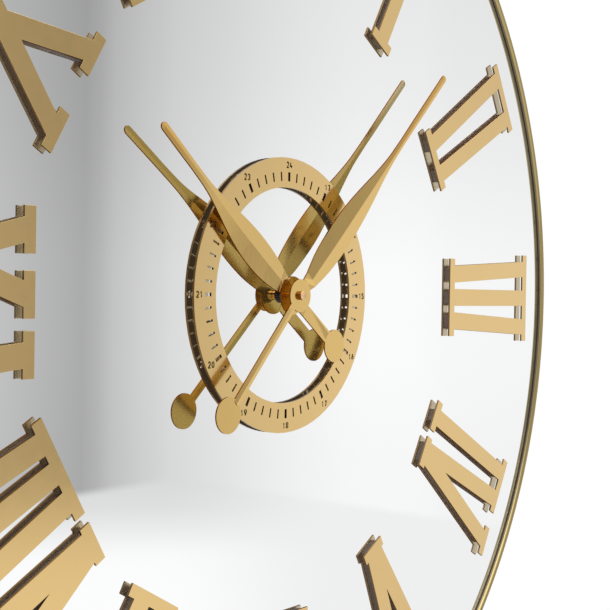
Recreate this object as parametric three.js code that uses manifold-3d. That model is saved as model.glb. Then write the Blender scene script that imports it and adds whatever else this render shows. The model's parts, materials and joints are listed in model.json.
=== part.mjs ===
// Mirror wall clock in millimetres: X right, Z up, the front faces -Y, the wall is the plane Y = 0.
// Pieces are drawn as seen from the front: x right, y up, and z the depth from the wall to the viewer.
import * as THREE from 'three';
import { mergeVertices } from 'three/addons/utils/BufferGeometryUtils.js';
import Module from 'manifold-3d';

const wasm = await Module();
wasm.setup();

// case, board and glass
const clockDiameter = 600;
const bumperThickness = 8;
const boardThickness = 18;
const bondThickness = 1;
const bondInset = 10;
const bondWidth = 68.5;
const glassThickness = 4;
const bandThickness = 1.2;
const beadWidth = 4.4;
const beadHeight = 3.4;
const seat = 0.3;                      // gap between a cut piece and what seats in it

// dial
const plateHeight = 3;                 // front of the numerals and the ring above the mirror
const plateThickness = 1.2;
const numeralEdge = 24.8;              // from the numerals to the bead of the rim
const numeralLength = 104.9;
const serifDepth = 5.9;
const strokeWidth = 10.7;
const serifOverhang = 4.4;
const letterGap = 5;
const closeGap = 4;                    // between the strokes of a group of I
const wideGap = 9.5;                   // between the strokes of II
const fan = 1.36;                      // how much the letters spread towards the rim
const padInset = 0.7;
const ringInner = 55.7;
const tickEdge = 3.25;                 // from the hole of the ring to the ticks
const tickLength = 4.7;
const tickWidth = 1.05;
const hourTickWidth = 1.8;
const numberGap = 2;                   // on both sides of the numbers
const digitHeight = 3.5;
const digitWidth = 2.2;
const digitStroke = 0.75;
const digitGap = 0.45;
const digitBridge = 0.24;
const ringPad = { radius: 3, inset: 1.1 };

// hands, with heights above the mirror
const minuteAngle = 45.7;              // clockwise from twelve, in degrees
const hourAngle = -53.7;
const handThickness = 0.8;
const foldSlope = 0.14;                // rise of the blade's ridge for each mm of half width
const minuteLength = 189.8;
const hourLength = 127.9;
const tipHalf = 2.1;
const minuteHub = { radius: 8.5, height: 11.6 };
const hourHub = { radius: 9.9, height: 6.7 };
const counterweightRadius = 8.8;
const minuteTail = { centre: 81.8, halfWidth: 2.2, height: 14.7, fold: foldSlope };
const hourTail = { centre: 45.5, halfWidth: 3.5, height: 7.1, fold: 0 };
const neckLength = 3.4;                // from a hub's edge to the crease where the fold begins
const capRadius = 2.25;
const capHeight = 2.1;

// movement
const caseThickness = 16;
const caseWall = 1.2;
const rearClearance = 4;               // movement to wall
const tubeRadius = 4;
const tubeStand = 2.7;                 // tube above the mirror
const nutFlats = 12;
const nutThickness = 2.2;
const washer = { radius: 8, thickness: 0.5 };
const counterboreDepth = 3;
const nutRoom = 2.2;                   // round the washer, for the spanner
const arborRadius = 1.7;
const pipeRadius = 2.5;
const runningGap = 0.1;
const endPlay = 0.3;
const pivotRadius = 0.6;
const motionDistance = 11.25;
const batteryRadius = 7.1;
const batteryLength = 49.2;
const batteryRoom = 0.6;
const contactRoom = 2.2;
const batteryNub = { radius: 2.7, length: 1.2 };
const knob = { radius: 4.5, thickness: 3 };
const rotorMagnet = { radius: 3, thickness: 2.6 };
const coilRadius = 3.3;

// hanging
const hangerLength = 90;
const hangerWidth = 14;
const hangerThickness = 1.2;
const hangerGap = 4.4;                 // behind the bridge of the hanger, where the hook catches
const hangerInset = 86.5;              // from the edge of the board
const screwRadius = 1.7;
const screwLength = 12;
const screwHead = { radius: 3.5, thickness: 2 };
const bumperRadius = 8;
const bumperInset = 43.94;

const boardBack = bumperThickness;
const boardFront = boardBack + boardThickness;
const glassBack = boardFront + bondThickness;
const mirror = glassBack + glassThickness;           // depth of the mirror's face
const bandRadius = clockDiameter / 2 - bandThickness;
const boardRadius = bandRadius - seat;
const bondRadius = boardRadius - bondInset;
const numeralOuter = clockDiameter / 2 - beadWidth - numeralEdge;
const numeralInner = numeralOuter - numeralLength;
const tickRadius = ringInner + tickEdge + tickLength / 2;
const numberRadius = tickRadius + tickLength / 2 + numberGap + digitHeight / 2;
const ringOuter = numberRadius + digitHeight / 2 + numberGap;
const caseSize = batteryLength + 2 * (contactRoom + caseWall);
const caseBack = rearClearance;
const caseFront = caseBack + caseThickness;
const nutSeat = boardFront - counterboreDepth;
const plateBack = mirror + plateHeight - plateThickness;
const hangerLevel = boardRadius - hangerInset;
const screwPlace = hangerLength / 2 - 6;
const bumperPlace = (boardRadius - bumperInset) * Math.SQRT1_2;

const gold = { color: '#c9ab72', metalness: 1, roughness: 0.22 };
const brass = { color: '#b08a48', metalness: 1, roughness: 0.3 };
const blackFoam = { color: '#1c1a19', metalness: 0, roughness: 0.95 };
const blackPlastic = { color: '#232323', metalness: 0, roughness: 0.5 };
const whitePlastic = { color: '#e4e2dc', metalness: 0, roughness: 0.45 };
const steel = { color: '#b9bcc0', metalness: 1, roughness: 0.35 };
const nickel = { color: '#c6c2b8', metalness: 1, roughness: 0.28 };
const boardPaint = { color: '#2a2826', metalness: 0, roughness: 0.8 };
const mirrorSilver = { color: '#dfe3e6', metalness: 1, roughness: 0.03 };
const copper = { color: '#a2562c', metalness: 1, roughness: 0.4 };
const boardGreen = { color: '#2f5d3a', metalness: 0, roughness: 0.6 };
const batterySleeve = { color: '#3a4148', metalness: 0.2, roughness: 0.4 };

const group = new THREE.Group();
const towardsViewer = new THREE.Matrix4().set(1, 0, 0, 0, 0, 0, -1, 0, 0, 1, 0, 0, 0, 0, 0, 1);
const radians = (degrees) => degrees * Math.PI / 180;

function addPiece(name, geometry, finish, { x = 0, y = 0, turn = 0 } = {}) {
  geometry.applyMatrix4(towardsViewer);
  const mesh = new THREE.Mesh(geometry, new THREE.MeshStandardMaterial(finish));
  mesh.name = name;
  mesh.position.set(x, 0, y);
  mesh.rotation.y = radians(turn);
  group.add(mesh);
  return mesh;
}

function toSolid(geometry) {
  const plain = geometry.clone();
  plain.deleteAttribute('normal');
  plain.deleteAttribute('uv');
  const merged = mergeVertices(plain, 1e-5);
  return new wasm.Manifold(new wasm.Mesh({
    numProp: 3,
    vertProperties: new Float32Array(merged.attributes.position.array),
    triVerts: new Uint32Array(merged.index.array),
  }));
}

function toGeometry(solid) {
  const mesh = solid.getMesh();
  const geometry = new THREE.BufferGeometry();
  geometry.setAttribute('position', new THREE.BufferAttribute(new Float32Array(mesh.vertProperties), 3));
  geometry.setIndex(new THREE.BufferAttribute(new Uint32Array(mesh.triVerts), 1));
  geometry.computeVertexNormals();
  return geometry;
}

const join = (...pieces) => toGeometry(pieces.map(toSolid).reduce((all, next) => all.add(next)));
const cut = (base, ...tools) => (
  toGeometry(tools.map(toSolid).reduce((all, next) => all.subtract(next), toSolid(base))));

function slab(shape, from, to, steps = 12) {
  const depth = to - from;
  const geometry = new THREE.ExtrudeGeometry(shape, { depth, bevelEnabled: false, curveSegments: steps });
  return geometry.translate(0, 0, from);
}

function outline(points) {
  return new THREE.Shape(points.map(([x, y]) => new THREE.Vector2(x, y)));
}

function disc(radius, from, to, { x = 0, y = 0, steps = 48, bore = 0 } = {}) {
  const shape = new THREE.Shape().absarc(x, y, radius, 0, 2 * Math.PI, false);
  if (bore) shape.holes.push(new THREE.Path().absarc(x, y, bore, 0, 2 * Math.PI, true));
  return slab(shape, from, to, steps / 2);
}

function box(x0, x1, y0, y1, from, to) {
  return slab(outline([[x0, y0], [x1, y0], [x1, y1], [x0, y1]]), from, to);
}

// profile points are [radius, depth], turned about the axis through x, y
function turned(profile, steps = 48) {
  const points = profile.map(([r, depth]) => new THREE.Vector2(r, depth));
  const geometry = new THREE.LatheGeometry(points, steps);
  geometry.applyMatrix4(towardsViewer);
  return geometry;
}

// board, glass and rim

function makeBoard() {
  const pocket = caseSize / 2 + seat;
  const body = disc(boardRadius, boardBack, boardFront, { steps: 96 });
  return cut(body,
    box(-pocket, pocket, -pocket, pocket, boardBack - 1, caseFront),
    disc(washer.radius + nutRoom, nutSeat, boardFront + 1, { steps: 32 }),
    disc(tubeRadius + seat, boardBack, boardFront + 1, { steps: 32 }),
    ...[-1, 1].map((side) => disc(screwRadius + seat, boardBack - 1, boardBack + screwLength,
      { x: side * screwPlace, y: hangerLevel, steps: 20 })));
}

function makeRim() {
  const outer = clockDiameter / 2;
  const inner = outer - beadWidth;
  const crown = beadWidth / 2;
  const arc = Array.from({ length: 7 }, (_, i) => {
    const angle = Math.PI * i / 6;
    return [outer - crown + crown * Math.cos(angle), mirror + beadHeight - crown + crown * Math.sin(angle)];
  });
  const profile = [[bandRadius, boardBack], [outer, boardBack], ...arc,
    [inner, mirror], [bandRadius, mirror], [bandRadius, boardBack]];
  return turned(profile, 80);
}

addPiece('backing_board', makeBoard(), boardPaint);
addPiece('bond_ring', disc(bondRadius, boardFront, glassBack, { steps: 64, bore: bondRadius - bondWidth }),
  blackFoam);
addPiece('mirror_glass', disc(boardRadius, glassBack, mirror, { steps: 96, bore: tubeRadius + seat }),
  mirrorSilver);
addPiece('rim', makeRim(), gold);

// numerals: y runs from the centre to the rim, x clockwise

const serifIn = numeralInner + serifDepth;
const serifOut = numeralOuter - serifDepth;

// where each letter of a numeral sits, as centres and half widths of its strokes at both ends
function layOut(word) {
  const letters = word.match(/I+|V|X/g);
  const alone = letters.length === 1;
  const gap = word === 'II' ? wideGap : closeGap;
  const cross = alone ? 20 : 13.2;
  const halves = letters.map((letter) => {
    if (letter === 'V') return 9.6;
    if (letter === 'X') return cross + strokeWidth / 2 + serifOverhang;
    return (letter.length * strokeWidth + (letter.length - 1) * gap) / 2 + serifOverhang;
  });
  const width = halves.reduce((sum, half) => sum + 2 * half, 0) + (letters.length - 1) * letterGap;
  let left = -width / 2;
  return letters.map((letter, i) => {
    const centre = left + halves[i];
    left += 2 * halves[i] + letterGap;
    return { letter, centre, half: halves[i], gap, cross };
  });
}

// each stroke is [inner left, inner right, outer left, outer right], each bar [left, right]
function strokesOf({ letter, centre, half, gap, cross }) {
  const outerCentre = centre * fan;
  const w = strokeWidth / 2;
  if (letter === 'V') {
    return {
      strokes: [-1, 1].map((side) => [
        centre + (side < 0 ? -7.4 : -3.5), centre + (side < 0 ? 3.5 : 7.4),
        outerCentre + (side < 0 ? -20.1 : 9), outerCentre + (side < 0 ? -9 : 20.1)]),
      inner: [[centre - half, centre + half]],
      outer: [[outerCentre - 24.6, outerCentre - 5.4], [outerCentre + 5.4, outerCentre + 24.6]],
    };
  }
  if (letter === 'X') {
    const reach = cross * 1.25;
    return {
      strokes: [-1, 1].map((side) => [
        centre + side * cross - w, centre + side * cross + w,
        outerCentre - side * reach - w, outerCentre - side * reach + w]),
      inner: [-1, 1].map((side) => [
        centre + side * cross - w - serifOverhang, centre + side * cross + w + serifOverhang]),
      outer: [-1, 1].map((side) => [
        outerCentre + side * reach - w - serifOverhang, outerCentre + side * reach + w + serifOverhang]),
    };
  }
  const offsets = Array.from(letter, (_, i) => (i - (letter.length - 1) / 2) * (strokeWidth + gap));
  const spread = (offset) => outerCentre + offset * fan;
  return {
    strokes: offsets.map((offset) => [
      centre + offset - w, centre + offset + w, spread(offset) - w, spread(offset) + w]),
    inner: [[centre - half, centre + half]],
    outer: [[spread(offsets[0]) - w - serifOverhang, spread(offsets.at(-1)) + w + serifOverhang]],
  };
}

// neighbouring letters share one outer bar
function outerBars(parts) {
  const bars = parts.flatMap((part, i) => part.outer.map(([from, to]) => ({ from, to, part: i })));
  const merged = [];
  for (const bar of bars) {
    const last = merged.at(-1);
    if (last && last.part !== bar.part) {
      last.to = bar.to;
      last.part = bar.part;
    } else merged.push({ ...bar });
  }
  return merged;
}

function quad(innerY, outerY, [a, b, c, d], inset = 0) {
  return outline([[a + inset, innerY], [b - inset, innerY], [d - inset, outerY], [c + inset, outerY]]);
}

function makeNumeral(word) {
  const parts = layOut(word).map(strokesOf);
  const shapes = [];
  for (const part of parts) {
    for (const stroke of part.strokes) shapes.push(quad(serifIn - 1, serifOut + 1, stroke));
    for (const [from, to] of part.inner) shapes.push(quad(numeralInner, serifIn, [from, to, from, to]));
  }
  for (const { from, to } of outerBars(parts)) {
    shapes.push(quad(serifOut, numeralOuter, [from, to, from, to]));
  }
  return join(...shapes.map((shape) => slab(shape, plateBack, mirror + plateHeight)));
}

function makePad(word) {
  const parts = layOut(word).map(strokesOf);
  const shapes = parts.flatMap((part) => part.strokes)
    .map((stroke) => quad(numeralInner + padInset, numeralOuter - padInset - 1, stroke, padInset));
  for (const { from, to } of outerBars(parts)) {
    const bar = [from, to, from, to];
    shapes.push(quad(serifOut + 1, numeralOuter - padInset - 1, bar, serifOverhang + padInset));
  }
  return join(...shapes.map((shape) => slab(shape, mirror, plateBack)));
}

const words = ['I', 'II', 'III', 'IV', 'V', 'VI', 'VII', 'VIII', 'IX', 'X', 'XI', 'XII'];
words.forEach((word, i) => {
  const turn = 30 * (i + 1);
  addPiece(`numeral_${word.toLowerCase()}`, makeNumeral(word), gold, { turn });
  addPiece(`pad_${word.toLowerCase()}`, makePad(word), blackFoam, { turn });
});

// ring of the hours 13 to 24

function arcPoints(x, y, rx, ry, from, to, steps = 6) {
  return Array.from({ length: steps + 1 }, (_, i) => {
    const angle = radians(from + (to - from) * i / steps);
    return [x + rx * Math.cos(angle), y + ry * Math.sin(angle)];
  });
}

// centre lines of the digits, broken where a line would run over itself
function digitLines(digit) {
  const w = digitWidth - digitStroke;
  const h = digitHeight - digitStroke;
  const mid = w / 2;
  const loop = (y, ry, from, to, steps) => arcPoints(mid, y * h, mid, ry * h, from, to, steps);
  const lines = {
    0: [loop(0.5, 0.5, 90, 270), loop(0.5, 0.5, -90, 90)],
    1: [[[0.1 * w, 0.74 * h], [0.55 * w, h], [0.55 * w, 0]]],
    2: [[...loop(0.7, 0.3, 165, -35, 5), [0.03 * w, 0]], [[-0.15 * w, 0], [1.1 * w, 0]]],
    3: [loop(0.76, 0.24, 150, -95, 5), loop(0.27, 0.27, 95, -150)],
    4: [[[0.5 * w, h], [0, 0.3 * h]], [[-0.2 * w, 0.3 * h], [1.25 * w, 0.3 * h]],
      [[0.85 * w, 0.5 * h], [0.85 * w, 0]]],
    5: [[[0.95 * w, h], [0.12 * w, h], [0.08 * w, 0.46 * h]], loop(0.31, 0.31, 125, -150)],
    6: [[[0.8 * w, h], [0.3 * w, 0.75 * h], ...loop(0.31, 0.31, 180, 270, 3)], loop(0.31, 0.31, -90, 180)],
    7: [[[0, h], [1.15 * w, h]], [[0.95 * w, h], [0.35 * w, 0]]],
    8: [loop(0.76, 0.24, 90, 270), loop(0.76, 0.24, -90, 90), loop(0.26, 0.26, 90, 270),
      loop(0.26, 0.26, -90, 90)],
    9: [[[0.2 * w, 0], [0.7 * w, 0.25 * h], ...loop(0.69, 0.31, 0, 90, 3)], loop(0.69, 0.31, 90, 360)],
  };
  return lines[digit];
}

// heights between which a bridge crosses the digit and holds the inside of its loops
function bridgeSpan(digit) {
  const h = digitHeight - digitStroke;
  return { 0: [-1, h + 1], 6: [-1, 0.31 * h], 8: [-1, h + 1], 9: [0.69 * h, h + 1] }[digit];
}

// a band of constant width along a line of points, mitred at the bends
function band(points, width) {
  const half = width / 2;
  const normals = points.slice(1).map(([x, y], i) => {
    const [px, py] = points[i];
    const length = Math.hypot(x - px, y - py);
    return [-(y - py) / length, (x - px) / length];
  });
  const offsets = points.map((_, i) => {
    const before = normals[Math.max(i - 1, 0)];
    const after = normals[Math.min(i, normals.length - 1)];
    const sum = [before[0] + after[0], before[1] + after[1]];
    const scale = half * Math.min(2 / (sum[0] ** 2 + sum[1] ** 2), 1.2);
    return [sum[0] * scale, sum[1] * scale];
  });
  const left = points.map(([x, y], i) => [x + offsets[i][0], y + offsets[i][1]]);
  const right = points.map(([x, y], i) => [x - offsets[i][0], y - offsets[i][1]]);
  return outline([...right, ...left.reverse()]);
}

function makeHourRing() {
  const shape = new THREE.Shape().absarc(0, 0, ringOuter, 0, 2 * Math.PI, false);
  shape.holes.push(new THREE.Path().absarc(0, 0, ringInner, 0, 2 * Math.PI, true));
  for (let minute = 0; minute < 60; minute += 1) {
    const angle = radians(6 * minute);
    const half = (minute % 5 ? tickWidth : hourTickWidth) / 2;
    const corners = [[-half, -1], [-half, 1], [half, 1], [half, -1]].map(([side, end]) => {
      const r = tickRadius + end * tickLength / 2;
      return new THREE.Vector2(side, r).rotateAround(new THREE.Vector2(), -angle);
    });
    shape.holes.push(new THREE.Path(corners));
  }
  const cutters = [];
  for (let hour = 13; hour <= 24; hour += 1) {
    const angle = radians(30 * hour);
    const pitch = digitWidth + digitGap;
    [...String(hour)].forEach((digit, i) => {
      const x = numberRadius * Math.sin(angle) - pitch + digitGap / 2 + digitStroke / 2 + i * pitch;
      const y = numberRadius * Math.cos(angle) - (digitHeight - digitStroke) / 2;
      const through = (points) => slab(points, plateBack - 1, mirror + plateHeight + 1);
      const strokes = digitLines(digit).map((line) => {
        return through(band(line.map(([px, py]) => [px + x, py + y]), digitStroke));
      });
      const span = bridgeSpan(digit);
      if (span) {
        const middle = x + (digitWidth - digitStroke) / 2;
        const [left, right] = [middle - digitBridge / 2, middle + digitBridge / 2];
        const [low, high] = span.map((height) => y + height);
        const bridge = outline([[left, low], [right, low], [right, high], [left, high]]);
        cutters.push(cut(join(...strokes), through(bridge)));
      } else {
        cutters.push(...strokes);
      }
    });
  }
  return cut(slab(shape, plateBack, mirror + plateHeight, 36), ...cutters);
}

addPiece('hour_ring', makeHourRing(), gold);
[15, 135, 255].forEach((angle, i) => {
  const r = ringInner + ringPad.inset + ringPad.radius;
  const place = { x: r * Math.sin(radians(angle)), y: r * Math.cos(radians(angle)) };
  addPiece(`ring_pad_${i + 1}`, disc(ringPad.radius, mirror, plateBack, { steps: 24 }), blackFoam, place);
});

// hands: drawn pointing up, heights counted from the mirror

// stations are [distance, half width, height of the edge, fold]; the ridge stands above the edge
function makeBlade(stations) {
  const positions = [];
  const index = [];
  for (const [r, half, height, fold = foldSlope] of stations) {
    const edge = mirror + height;
    const ridge = edge + fold * half;
    const under = [edge - handThickness, ridge - handThickness];
    positions.push(-half, r, edge, 0, r, ridge, half, r, edge);
    positions.push(half, r, under[0], 0, r, under[1], -half, r, under[0]);
  }
  const face = (a, b, c, d) => index.push(a, b, c, a, c, d);
  for (let i = 0; i + 1 < stations.length; i += 1) {
    for (let k = 0; k < 6; k += 1) {
      const next = (k + 1) % 6;
      face(6 * i + k, 6 * i + next, 6 * (i + 1) + next, 6 * (i + 1) + k);
    }
  }
  const last = 6 * (stations.length - 1);
  face(0, 5, 4, 1);
  face(1, 4, 3, 2);
  face(last, last + 1, last + 4, last + 5);
  face(last + 1, last + 2, last + 3, last + 4);
  const geometry = new THREE.BufferGeometry();
  geometry.setAttribute('position', new THREE.Float32BufferAttribute(positions, 3));
  geometry.setIndex(index);
  return geometry;
}

function smooth(keys, steps) {
  const points = keys.map((key) => new THREE.Vector3(...key));
  const curve = new THREE.CatmullRomCurve3(points, false, 'centripetal');
  return curve.getPoints(steps).map((point) => point.toArray());
}

// a narrow bar ends in a half round tip
function roundTip([r, half, height]) {
  return [30, 60, 80].map((degrees) => [
    r + half * Math.sin(radians(degrees)), half * Math.cos(radians(degrees)), height]);
}

function flatDisc(radius, height, y = 0) {
  return disc(radius, mirror + height - handThickness, mirror + height, { y, steps: 48 });
}

// flat necks join the blade and the tail to the hub; the discs of the tails are flat too
function makeHand(root, keys, hub, tail, bore) {
  const blade = smooth(keys, 22);
  const tailBar = [
    [counterweightRadius - 1.5 - tail.centre, tail.halfWidth, tail.height, tail.fold],
    [-hub.radius - neckLength, tail.halfWidth, hub.height + 0.2, tail.fold],
    [-hub.radius - 0.3, tail.halfWidth, hub.height, 0],
    [-hub.radius + 2, tail.halfWidth, hub.height - 0.1, 0]];
  const body = join(
    makeBlade([...root, ...blade, ...roundTip(blade.at(-1))]),
    makeBlade(tailBar),
    flatDisc(hub.radius, hub.height),
    flatDisc(counterweightRadius, tail.height, -tail.centre));
  return cut(body, disc(bore, mirror, mirror + 25, { steps: 32 }));
}

const minuteRoot = [[6, 3.4, 11.4, 0], [8.8, 4.1, 11.5, 0]];
const minuteKeys = [[minuteHub.radius + neckLength, 4.9, 12.1], [24.4, 7.5, 12.1], [38.6, 8.7, 12.4],
  [52.8, 8.9, 12.6], [67, 7.9, 13], [81.3, 6.1, 13.5], [97.5, 3.7, 13.9], [113.8, 2.2, 14.2],
  [152.4, tipHalf, 14.5], [minuteLength - tipHalf, tipHalf, 14.9]];
const hourRoot = [[7, 4.6, 6.5, 0], [10.2, 5.4, 6.5, 0]];
const hourKeys = [[hourHub.radius + neckLength, 6.3, 6.3], [24.4, 8.4, 6], [34.5, 9, 6], [45.7, 8.6, 6.2],
  [58.9, 6.8, 6.9], [71.1, 4.5, 8], [83.3, 2.6, 9.3], [93.5, tipHalf, 10.1],
  [hourLength - tipHalf, tipHalf, 12]];
addPiece('minute_hand', makeHand(minuteRoot, minuteKeys, minuteHub, minuteTail, arborRadius + seat / 2), gold,
  { turn: minuteAngle });
addPiece('hour_hand', makeHand(hourRoot, hourKeys, hourHub, hourTail, pipeRadius + seat / 2), gold,
  { turn: hourAngle });

// gears

// trapezoid teeth, thinner than half the pitch so that every mesh has play
function gearOutline(teeth, module_, phase = 0) {
  const pitch = 2 * Math.PI / teeth;
  const root = (teeth / 2 - 1.15) * module_;
  const tip = (teeth / 2 + 0.7) * module_;
  const points = [];
  for (let i = 0; i < teeth; i += 1) {
    const middle = radians(phase) + i * pitch;
    for (const [share, r] of [[-0.27, root], [-0.1, tip], [0.1, tip], [0.27, root]]) {
      points.push([r * Math.cos(middle + share * pitch), r * Math.sin(middle + share * pitch)]);
    }
  }
  return outline(points);
}

function gear(teeth, module_, from, to, phase = 0) {
  return slab(gearOutline(teeth, module_, phase), from, to);
}

// a wheel and pinion meet with a tooth of the first on the line of centres and a gap of the second there
const meshTooth = (direction) => direction;
const meshGap = (direction, teeth) => direction + 180 + 180 / teeth;
const place = (from, distance, direction) => ({
  x: from.x + distance * Math.cos(radians(direction)),
  y: from.y + distance * Math.sin(radians(direction)),
});

const centre = { x: 0, y: 0 };
const caseInside = caseFront - caseWall;
const coverInside = caseBack + caseWall;
const frontPivot = caseInside - endPlay;
const rearPivot = coverInside + endPlay;

// layers of wheels, counted from the back of the case
const layer = (from, thickness) => [caseBack + from, caseBack + from + thickness];
const hourLayer = layer(12.2, 1.8);
const motionLayer = layer(9.9, 1.6);
const centreLayer = layer(7.8, 1.2);
const thirdLayer = layer(5.9, 1.2);
const secondsLayer = layer(4, 1.2);
const stepLayer = layer(2.1, 1.2);

const motion = { cannon: 12, wheel: 36, pinion: 10, hour: 40, knob: 18 };
const motionDirection = 145;
const motionModule = 2 * motionDistance / (motion.cannon + motion.wheel);
const hourModule = 2 * motionDistance / (motion.pinion + motion.hour);
const motionAt = place(centre, motionDistance, motionDirection);
const knobDirection = 80;
const knobAt = place(motionAt, motionModule * (motion.knob + motion.wheel) / 2, knobDirection);

// each step of the drive train: wheel and pinion, their module, and where the pinion's arbor lies
const drive = {
  centre: { wheel: 48, pinion: 6, module: 0.373, direction: 12 },
  third: { wheel: 45, pinion: 6, module: 0.32, direction: 100 },
  seconds: { wheel: 36, pinion: 6, module: 0.333, direction: 15 },
  step: { wheel: 30, pinion: 6, module: 0.267, direction: -80 },
};
const nextArbor = (from, { wheel, pinion, module: size, direction }) => (
  place(from, size * (wheel + pinion) / 2, direction));
const thirdAt = nextArbor(centre, drive.centre);
const secondsAt = nextArbor(thirdAt, drive.third);
const stepAt = nextArbor(secondsAt, drive.seconds);
const rotorAt = nextArbor(stepAt, drive.step);

function wheelOf({ wheel, module: size, direction }, span) {
  return gear(wheel, size, ...span, meshTooth(direction));
}

function pinionOf({ pinion, module: size, direction }, span) {
  return gear(pinion, size, ...span, meshGap(direction, pinion));
}

const arbor = (from = rearPivot, to = frontPivot) => disc(pivotRadius, from, to, { steps: 12 });

// hands' train

const pipeEnd = mirror + hourHub.height;
const arborEnd = mirror + minuteHub.height + capHeight / 2;
const arborStart = centreLayer[0] - 0.3;

addPiece('minute_arbor', join(
  disc(arborRadius, arborStart, arborEnd, { steps: 24 }),
  arbor(rearPivot, arborStart + 0.5),
  gear(motion.cannon, motionModule, ...motionLayer, meshTooth(motionDirection))), brass);

addPiece('hour_wheel', cut(join(
  disc(pipeRadius, hourLayer[0], pipeEnd, { steps: 28 }),
  gear(motion.hour, hourModule, ...hourLayer, meshGap(motionDirection + 180, motion.hour))),
disc(arborRadius + runningGap, hourLayer[0] - 1, pipeEnd + 1, { steps: 28 })), brass);

addPiece('motion_wheel', join(
  gear(motion.wheel, motionModule, ...motionLayer, meshGap(motionDirection, motion.wheel)),
  gear(motion.pinion, hourModule, motionLayer[1] - 0.3, hourLayer[1], meshTooth(motionDirection + 180)),
  arbor()), whitePlastic, motionAt);

const knobStep = 0.5;                  // the arbor starts inside the thicker shaft
addPiece('setting_knob', join(
  gear(motion.knob, motionModule, ...motionLayer, knobPhase()),
  disc(1.6, caseBack - knobStep, motionLayer[1], { steps: 20 }),
  arbor(motionLayer[1] - knobStep, frontPivot),
  disc(knob.radius, caseBack - endPlay - knob.thickness, caseBack - endPlay, { steps: 28 })),
whitePlastic, knobAt);

// the motion wheel's tooth nearest the knob decides how the knob's gear stands
function knobPhase() {
  const pitch = 360 / motion.wheel;
  const wheelPhase = meshGap(motionDirection, motion.wheel);
  const offset = (((knobDirection - wheelPhase) % pitch) + pitch) % pitch;
  return knobDirection + 180 + (offset * motion.wheel) / motion.knob + 180 / motion.knob;
}

const capBase = mirror + minuteHub.height;
addPiece('minute_cap', turned([[0, arborEnd + 0.3], [arborRadius + seat / 2, arborEnd + 0.3],
  [arborRadius + seat / 2, capBase], [capRadius, capBase], [capRadius, capBase + capHeight - 0.3],
  [capRadius - 0.3, capBase + capHeight], [0, capBase + capHeight]], 32), brass);

// drive train from the step motor to the minute arbor

addPiece('centre_wheel', cut(wheelOf(drive.centre, centreLayer),
  disc(arborRadius + runningGap, centreLayer[0] - 1, centreLayer[1] + 1, { steps: 28 })), brass);
addPiece('third_wheel', join(
  wheelOf(drive.third, thirdLayer),
  pinionOf(drive.centre, [thirdLayer[1] - 0.3, centreLayer[1] + 0.3]),
  arbor()), whitePlastic, thirdAt);
addPiece('seconds_wheel', join(
  wheelOf(drive.seconds, secondsLayer),
  pinionOf(drive.third, [secondsLayer[1] - 0.3, thirdLayer[1] + 0.3]),
  arbor()), whitePlastic, secondsAt);
addPiece('step_wheel', join(
  wheelOf(drive.step, stepLayer),
  pinionOf(drive.seconds, [stepLayer[1] - 0.3, secondsLayer[1] + 0.3]),
  arbor()), whitePlastic, stepAt);
const magnetFrom = thirdLayer[1] + 0.9;
addPiece('rotor', join(
  pinionOf(drive.step, [stepLayer[0], stepLayer[1] + 0.3]),
  disc(rotorMagnet.radius, magnetFrom, magnetFrom + rotorMagnet.thickness, { steps: 28 }),
  arbor()), blackPlastic, rotorAt);

// motor and electrics

const statorFrom = magnetFrom + 0.6;
const statorThickness = 1;
const coilAt = { x: caseSize / 2 - caseWall - coilRadius - 0.4, depth: caseBack + 5 };
const coilSpan = [-4, 18];
const coreHalf = 1.2;
const coreSpan = [coilSpan[0] - 4, coilSpan[1] + 4];

function makeStator() {
  const left = rotorAt.x - 4.2;
  const right = coilAt.x + coreHalf + 1;
  const waist = coilAt.x - 2;
  const plate = outline([
    [left, rotorAt.y - 6], [coilAt.x - 3.2, coreSpan[0]], [right, coreSpan[0]],
    [right, coreSpan[0] + 4], [waist, coreSpan[0] + 5], [waist, coreSpan[1] - 5],
    [right, coreSpan[1] - 4], [right, coreSpan[1]], [coilAt.x - 3.2, coreSpan[1]], [left, rotorAt.y + 8]]);
  const core = box(coilAt.x - coreHalf, coilAt.x + coreHalf, ...coreSpan,
    coilAt.depth - 0.8, coilAt.depth + 0.8);
  const legs = [coreSpan[0], coreSpan[1] - 2.4].map((from) => (
    box(coilAt.x - coreHalf, coilAt.x + coreHalf, from, from + 2.4, coilAt.depth - 0.8, statorFrom + 0.5)));
  return cut(join(slab(plate, statorFrom, statorFrom + statorThickness), core, ...legs),
    disc(rotorMagnet.radius + 0.5, statorFrom - 1, statorFrom + 2, { ...rotorAt, steps: 28 }),
    disc(pivotRadius + 0.5, statorFrom - 1, statorFrom + 2, { ...stepAt, steps: 16 }));
}

function makeCoil() {
  const flange = coilRadius;
  const [from, to] = coilSpan;
  const profile = [[0, from], [flange, from], [flange, from + 1], [flange - 0.6, from + 1],
    [flange - 0.6, to - 1], [flange, to - 1], [flange, to], [0, to]];
  const spool = new THREE.LatheGeometry(profile.map(([r, y]) => new THREE.Vector2(r, y)), 24);
  spool.translate(coilAt.x, 0, coilAt.depth);
  const bore = coreHalf + seat;
  return cut(spool, box(coilAt.x - bore, coilAt.x + bore, from - 1, to + 1,
    coilAt.depth - 0.8 - seat, coilAt.depth + 0.8 + seat));
}

const batteryWall = -caseSize / 2 + caseWall + 2 * (batteryRadius + batteryRoom);
const partition = [batteryWall, batteryWall + 1];      // between the battery and the wheels
const batteryAt = { y: (partition[0] - caseSize / 2 + caseWall) / 2, depth: caseBack + batteryRadius + seat };
const boardEdge = caseSize / 2 - caseWall - batteryRoom;
const boardSpan = { x: [boardEdge - 21.2, boardEdge], y: [boardEdge - 7.2, boardEdge],
  from: caseInside - 2.4, thickness: 0.8 };
const boardPosts = boardSpan.x.map((x, i) => [x + (i ? -2 : 2), boardEdge - 4.2]);

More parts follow.
